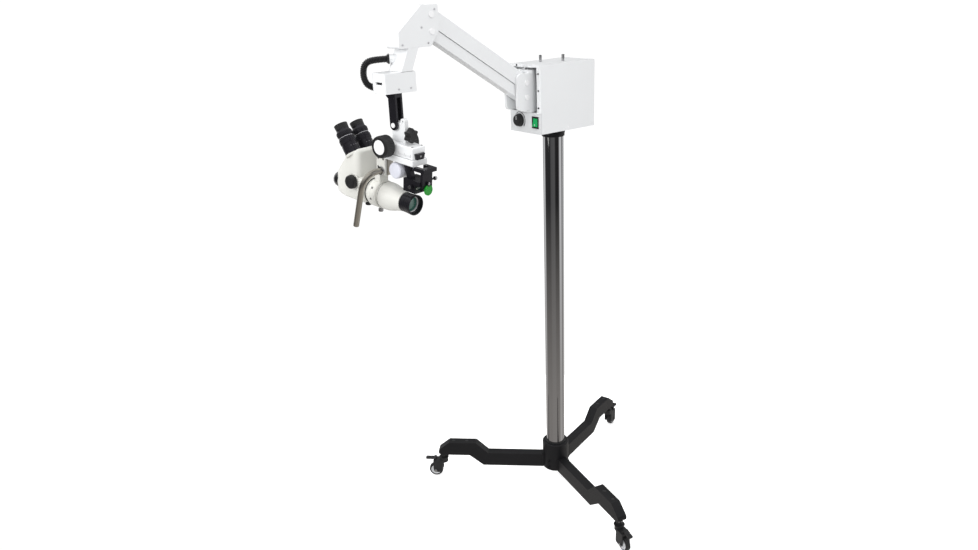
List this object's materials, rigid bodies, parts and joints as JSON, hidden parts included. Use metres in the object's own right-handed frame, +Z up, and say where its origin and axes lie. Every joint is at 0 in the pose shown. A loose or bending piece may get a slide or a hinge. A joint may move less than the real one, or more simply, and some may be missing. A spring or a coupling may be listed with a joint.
{
  "type": "stereo microscope",
  "caption": "Stereo microscope on a wheeled three-legged floor stand, carried by a balanced parallelogram boom with a swivelling, tilting head and rack focus.",
  "frame": {"origin": "on the floor, on the axis of the upright column", "axes": "+Z up along the column, +X along the reach of the boom at rest, +Y to the left of someone looking along the boom"},
  "size_m": [1.113, 0.7871, 1.633],
  "materials": {
    "black_paint": "textured satin black",
    "polished_steel": "polished",
    "white_paint": "gloss white",
    "cream_paint": "satin cream white",
    "satin_steel": "satin",
    "black_plastic": "matt black",
    "white_plastic": "gloss",
    "rubber": "matt",
    "black_gloss": "gloss black",
    "green_glass": "clear green",
    "lens_glass": "coated",
    "green_rocker": "lit green",
    "steel": "machined",
    "black_metal": "black anodised"
  },
  "bodies": {
    "stand": {"hub": "black_paint", "leg_left": "black_paint", "leg_front": "black_paint", "leg_rear": "black_paint", "hub_bolts": "steel", "caster_stems": "steel", "column": "polished_steel", "column_collar": "black_paint", "housing_shell": "white_paint", "housing_frame": "steel", "control_panel": "white_plastic", "rocker_bezel": "black_plastic", "housing_screws": "black_metal", "top_posts": "steel", "power_inlet": "black_plastic"},
    "brightness_knob": {"brightness_knob": "black_plastic"},
    "rocker": {"rocker": "green_rocker"},
    "yoke": {"yoke": "white_paint", "yoke_pins": "steel"},
    "arm_top": {"arm_cover": "white_paint"},
    "arm_low": {"arm_beam": "white_paint"},
    "elbow": {"elbow_cover": "white_paint", "elbow_pins": "steel", "drop_arm": "white_paint", "swivel_bracket": "white_paint", "hose": "rubber", "hose_gland": "black_plastic"},
    "fork": {"tilt_fork": "black_metal", "tilt_bolt": "steel"},
    "focus_housing": {"focus_housing": "white_paint"},
    "tilt_lock_knob": {"tilt_lock_knob": "black_plastic"},
    "focus_drive": {"focus_shaft": "steel", "focus_knobs": "white_plastic"},
    "carriage": {"focus_carriage": "white_paint", "focus_rack": "black_metal", "ring_clamp": "cream_paint", "handle": "satin_steel", "lamp_block": "black_metal"},
    "green_filter": {"green_filter": "green_glass"},
    "scope": {"scope_body": "cream_paint", "objective_barrel": "black_metal", "objective_lens": "lens_glass", "rear_cap": "black_gloss"},
    "zoom_knobs": {"zoom_knobs": "black_plastic"},
    "eyepiece_right": {"eyepiece_right": "black_metal"},
    "eyepiece_left": {"eyepiece_left": "black_metal"},
    "caster_left": {"caster_fork_left": "black_plastic"},
    "wheel_left": {"caster_rim_left": "white_plastic", "caster_tyre_left": "rubber"},
    "pedal_left": {"caster_pedal_left": "black_plastic"},
    "caster_front": {"caster_fork_front": "black_plastic"},
    "wheel_front": {"caster_rim_front": "white_plastic", "caster_tyre_front": "rubber"},
    "pedal_front": {"caster_pedal_front": "black_plastic"},
    "caster_rear": {"caster_fork_rear": "black_plastic"},
    "wheel_rear": {"caster_rim_rear": "white_plastic", "caster_tyre_rear": "rubber"},
    "pedal_rear": {"caster_pedal_rear": "black_plastic"}
  },
  "joints": [
    {"name": "swivel_left", "type": "hinge", "parent": "stand", "child": "caster_left", "pos_m": [0.29329, -0.2793, 0.08], "axis": [0, 0, 1], "continuous": true},
    {"name": "roll_left", "type": "hinge", "parent": "caster_left", "child": "wheel_left", "pos_m": [0.31501, -0.29999, 0.025], "axis": [0.6896, 0.7242, 0], "continuous": true},
    {"name": "brake_left", "type": "hinge", "parent": "caster_left", "child": "pedal_left", "pos_m": [0.31646, -0.30136, 0.0702], "axis": [-0.6896, -0.7242, 0], "range_deg": [0, 20]},
    {"name": "swivel_front", "type": "hinge", "parent": "stand", "child": "caster_front", "pos_m": [0.09523, 0.39364, 0.08], "axis": [0, 0, 1], "continuous": true},
    {"name": "roll_front", "type": "hinge", "parent": "caster_front", "child": "wheel_front", "pos_m": [0.10229, 0.4228, 0.025], "axis": [-0.972, 0.2351, 0], "continuous": true},
    {"name": "brake_front", "type": "hinge", "parent": "caster_front", "child": "pedal_front", "pos_m": [0.10276, 0.42475, 0.0702], "axis": [0.972, -0.2351, 0], "range_deg": [0, 20]},
    {"name": "swivel_rear", "type": "hinge", "parent": "stand", "child": "caster_rear", "pos_m": [-0.38852, -0.11435, 0.08], "axis": [0, 0, 1], "continuous": true},
    {"name": "roll_rear", "type": "hinge", "parent": "caster_rear", "child": "wheel_rear", "pos_m": [-0.4173, -0.12282, 0.025], "axis": [0.2823, -0.9593, 0], "continuous": true},
    {"name": "brake_rear", "type": "hinge", "parent": "caster_rear", "child": "pedal_rear", "pos_m": [-0.41922, -0.12338, 0.0702], "axis": [-0.2823, 0.9593, 0], "range_deg": [0, 20]},
    {"name": "brightness_turn", "type": "hinge", "parent": "stand", "child": "brightness_knob", "pos_m": [0.118, -0.023, 1.295], "axis": [1, 0, 0], "range_deg": [-150, 150]},
    {"name": "rocker_tip", "type": "hinge", "parent": "stand", "child": "rocker", "pos_m": [0.111, 0.047, 1.294], "axis": [0, 1, 0], "range_deg": [-12, 0]},
    {"name": "boom_swing", "type": "hinge", "parent": "stand", "child": "yoke", "pos_m": [0.105, 0, 1.382], "axis": [0, 0, 1], "range_deg": [-44, 44]},
    {"name": "boom_lift", "type": "hinge", "parent": "yoke", "child": "arm_top", "pos_m": [0.128, 0, 1.408], "axis": [0, -1, 0], "range_deg": [-62, 12]},
    {"name": "boom_lift_lower", "type": "hinge", "parent": "yoke", "child": "arm_low", "pos_m": [0.128, 0, 1.367], "axis": [0, -1, 0], "range_deg": [-62, 12]},
    {"name": "elbow_level", "type": "hinge", "parent": "arm_top", "child": "elbow", "pos_m": [0.44462, 0, 1.60894], "axis": [0, -1, 0], "range_deg": [-12, 62]},
    {"name": "head_swivel", "type": "hinge", "parent": "elbow", "child": "fork", "pos_m": [0.551, 0, 1.43], "axis": [0, 0, 1], "range_deg": [-150, 150]},
    {"name": "head_tilt", "type": "hinge", "parent": "fork", "child": "focus_housing", "pos_m": [0.551, 0, 1.341], "axis": [0.9781, 0.2079, 0], "range_deg": [-25, 35]},
    {"name": "tilt_lock", "type": "hinge", "parent": "focus_housing", "child": "tilt_lock_knob", "pos_m": [0.54335, 0.03597, 1.3183], "axis": [-0.2064, 0.9709, -0.1219], "range_deg": [-90, 90]},
    {"name": "focus_slide", "type": "slide", "parent": "focus_housing", "child": "carriage", "axis": [-0.2064, 0.9709, -0.1219], "range_m": [-0.018, 0.018]},
    {"name": "focus_turn", "type": "hinge", "parent": "focus_housing", "child": "focus_drive", "pos_m": [0.55329, -0.01076, 1.29022], "axis": [0.9781, 0.2079, 0], "range_deg": [-173, 173]},
    {"name": "filter_flip", "type": "hinge", "parent": "carriage", "child": "green_filter", "pos_m": [0.53267, 0.09585, 1.198], "axis": [-0.2064, 0.9709, -0.1219], "range_deg": [-90, 0]},
    {"name": "scope_roll", "type": "hinge", "parent": "carriage", "child": "scope", "pos_m": [0.56888, -0.08414, 1.14699], "axis": [-0.2064, 0.9709, -0.1219], "range_deg": [-25, 25]},
    {"name": "zoom_turn", "type": "hinge", "parent": "scope", "child": "zoom_knobs", "pos_m": [0.58164, -0.14414, 1.18072], "axis": [0.9781, 0.2079, 0], "range_deg": [-120, 120]},
    {"name": "pupil_right", "type": "slide", "parent": "scope", "child": "eyepiece_right", "axis": [0.9781, 0.2079, 0], "range_m": [-0.002, 0.006]},
    {"name": "pupil_left", "type": "slide", "parent": "scope", "child": "eyepiece_left", "axis": [0.9781, 0.2079, 0], "range_m": [-0.006, 0.002]}
  ],
  "couplings": [
    {"joint": "boom_lift_lower", "follows": "boom_lift", "ratio": 1},
    {"joint": "elbow_level", "follows": "boom_lift", "ratio": -1},
    {"joint": "focus_turn", "follows": "focus_slide", "rad_per_m": 166.67},
    {"joint": "pupil_left", "follows": "pupil_right", "ratio": -1}
  ]
}
